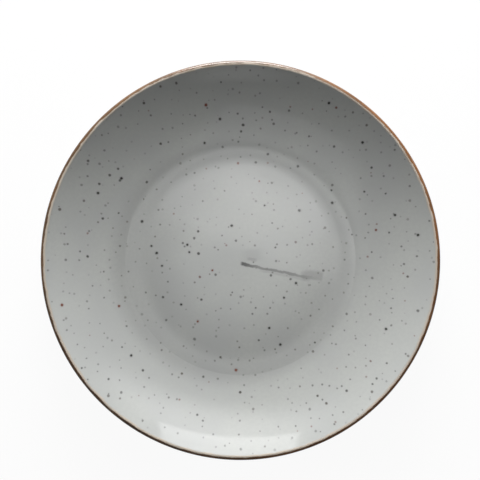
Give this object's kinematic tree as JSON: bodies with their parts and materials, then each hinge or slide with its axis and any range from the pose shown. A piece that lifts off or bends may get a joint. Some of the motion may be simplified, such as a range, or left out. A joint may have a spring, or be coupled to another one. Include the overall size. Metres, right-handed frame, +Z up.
{
  "type": "flat plate",
  "caption": "Round rimless coupe dinner plate in glossy speckled grey stoneware, with a shallow well, a brown iron-oxide rim band and a bare turned foot ring.",
  "frame": {"origin": "on the table, at the centre of the foot ring", "axes": "+Z up along the plate's axis of revolution, out of the well; X and Y lie in the table plane"},
  "size_m": [0.27, 0.27, 0.03],
  "materials": {
    "clay": "bare buff stoneware, matt and fine-grained",
    "face_glaze": "glossy mid-grey glaze with brown and near-black iron specks",
    "back_glaze": "glossy mid-grey glaze with brown and near-black iron specks",
    "base_glaze": "glossy mid-grey glaze with sparse iron specks",
    "iron_band": "brown iron-oxide band, uneven, paler and tan on its inner edge"
  },
  "bodies": {
    "root": {"clay_body": "clay", "face_glaze": "face_glaze", "back_glaze": "back_glaze", "base_glaze": "base_glaze", "rim_band": "iron_band"}
  },
  "joints": []
}
